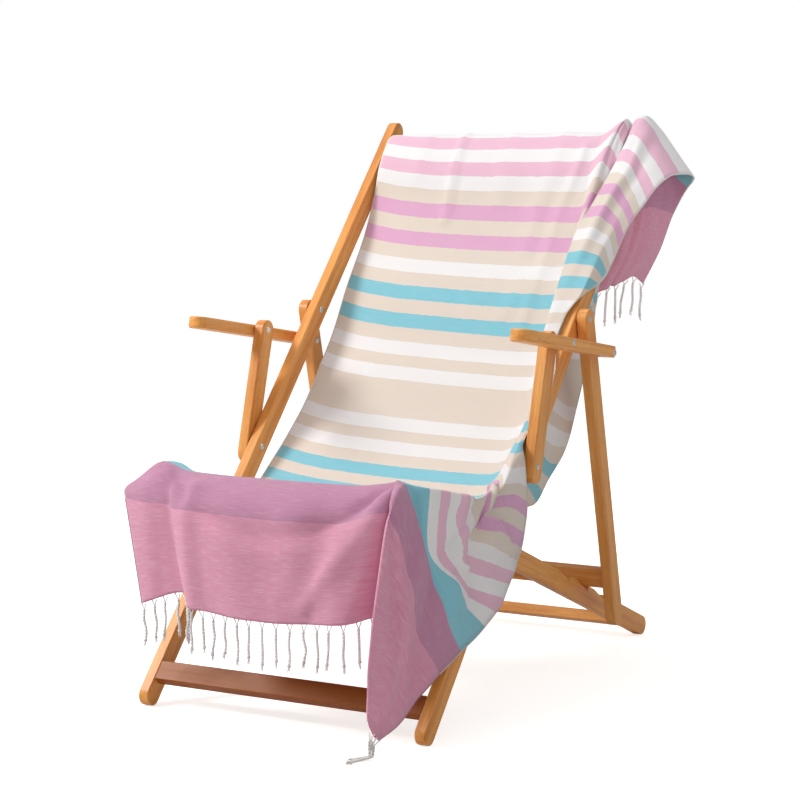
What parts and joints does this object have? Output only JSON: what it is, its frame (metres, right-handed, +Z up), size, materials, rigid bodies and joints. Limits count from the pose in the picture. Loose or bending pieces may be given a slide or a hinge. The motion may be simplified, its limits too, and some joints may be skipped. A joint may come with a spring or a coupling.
{
  "type": "beach towel on a folding deck chair",
  "caption": "Striped flat-woven cotton beach towel with knotted fringe, draped over a reclined wooden folding deck chair with armrests",
  "frame": {"origin": "centre of the bounding box's bottom face, on the floor", "axes": "+Z up, the chair's front faces -Y, +X toward the side where the towel hangs lowest, metres"},
  "size_m": [0.738, 1.196, 1.0636],
  "materials": {
    "towel": "flat-woven cotton, stripes of pink, lilac, turquoise, beige and white across it",
    "fringe": "twisted off-white cotton cords",
    "canvas": "plain cream canvas, guessed: the towel hides it",
    "beech": "honey-coloured oiled hardwood",
    "steel": "low round bolt heads"
  },
  "bodies": {
    "root": {"arm_l": "beech", "arm_r": "beech", "back_foot_rail": "beech", "back_rail_l": "beech", "back_rail_r": "beech", "back_top_rail": "beech", "bolt_arm_front_l": "steel", "bolt_arm_front_r": "steel", "bolt_arm_rear_l": "steel", "bolt_arm_rear_r": "steel", "bolt_cross_l": "steel", "bolt_cross_r": "steel", "bolt_prop_l": "steel", "bolt_prop_r": "steel", "bolt_strut_l": "steel", "bolt_strut_r": "steel", "fringe_back": "fringe", "fringe_corner": "fringe", "fringe_front": "fringe", "prop_board": "beech", "prop_leg_l": "beech", "prop_leg_r": "beech", "seat_front_rail": "beech", "seat_rail_l": "beech", "seat_rail_r": "beech", "seat_rear_rail": "beech", "sling": "canvas", "spacer_l": "beech", "spacer_r": "beech", "strut_l": "beech", "strut_r": "beech", "towel": "towel"}
  },
  "joints": []
}
